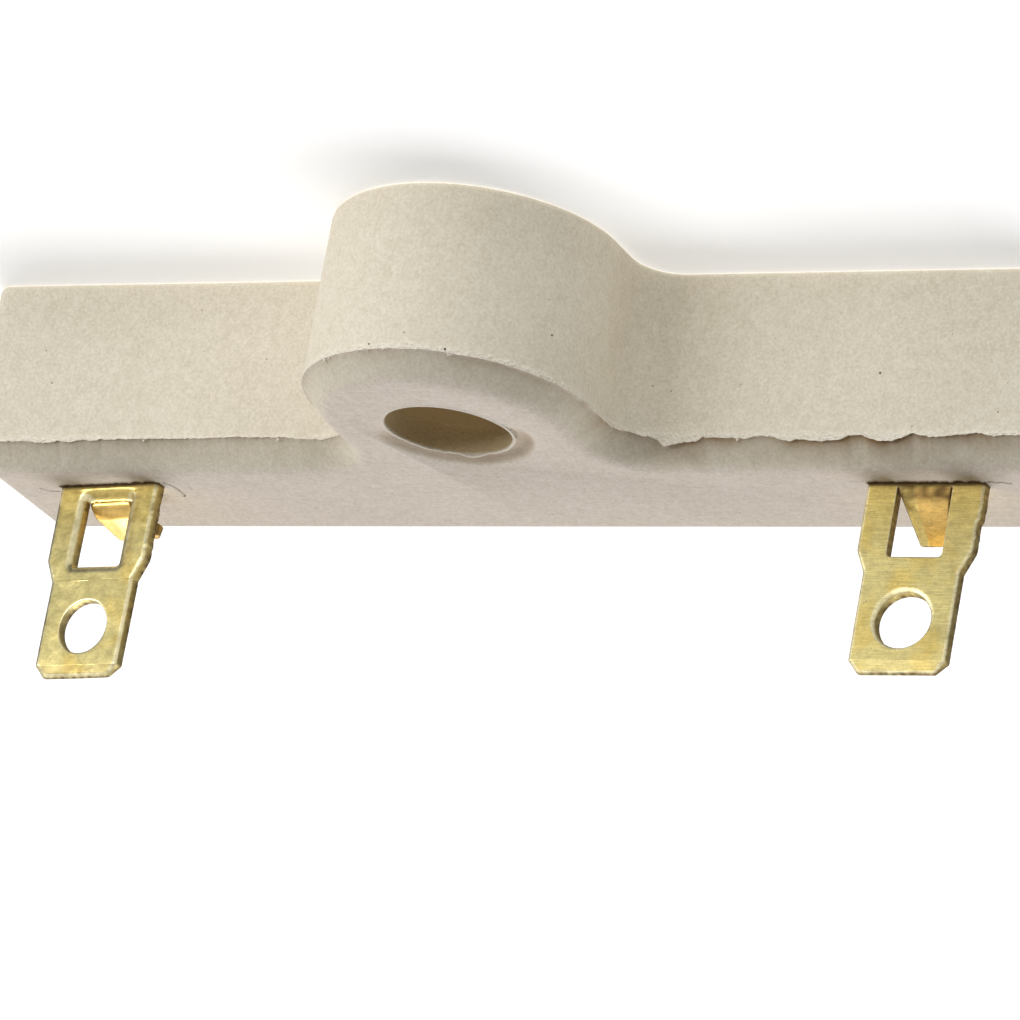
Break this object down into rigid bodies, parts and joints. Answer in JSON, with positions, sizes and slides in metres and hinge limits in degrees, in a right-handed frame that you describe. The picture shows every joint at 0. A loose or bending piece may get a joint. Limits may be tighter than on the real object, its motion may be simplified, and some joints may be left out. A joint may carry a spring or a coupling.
{
  "type": "ignition coil resistor",
  "caption": "Ignition coil resistor: long ceramic block with a drilled bolt lug, flat brass blade terminals and an open-backed trough that holds the resistance coil.",
  "frame": {"origin": "middle of the footprint, on the mounting face", "axes": "+X along the block, towards the blade that stands further out; +Z out of the terminal face, along the blades; the bolt lug points to -Y"},
  "size_m": [0.0754, 0.0272, 0.0258],
  "materials": {
    "ceramic": "matte",
    "cement": "matte",
    "brass": "satin",
    "resistance_wire": "satin"
  },
  "bodies": {
    "root": {"ceramic_body": "ceramic", "cement_seal_left": "cement", "cement_seal_right": "cement", "terminal_left": "brass", "terminal_right": "brass", "resistance_coil": "resistance_wire"}
  },
  "joints": []
}
